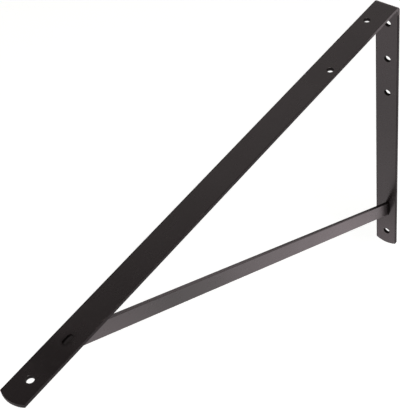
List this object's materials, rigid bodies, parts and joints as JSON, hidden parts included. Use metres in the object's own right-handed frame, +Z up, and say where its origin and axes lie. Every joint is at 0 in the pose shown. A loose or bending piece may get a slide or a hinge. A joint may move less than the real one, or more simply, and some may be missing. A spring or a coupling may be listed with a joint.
{
  "type": "shelf bracket",
  "caption": "Heavy triangular shelf bracket of bent flat bar, with a flat brace on edge from the wall arm to the front of the shelf arm.",
  "frame": {"origin": "on the wall plane, at the middle of the bar's width, level with the axis of the top wall screw hole", "axes": "+X out from the wall along the shelf arm, +Z up, +Y across the bar, to the right of someone facing the wall"},
  "size_m": [0.55, 0.0254, 0.352],
  "materials": {
    "painted_bar": "black semi-gloss paint on steel",
    "painted_brace": "black semi-gloss paint on steel",
    "painted_weld": "black semi-gloss paint over weld metal"
  },
  "bodies": {
    "root": {"bent_bar": "painted_bar", "brace_bar": "painted_brace", "slot_weld": "painted_weld", "fillet_weld": "painted_weld"}
  },
  "joints": []
}
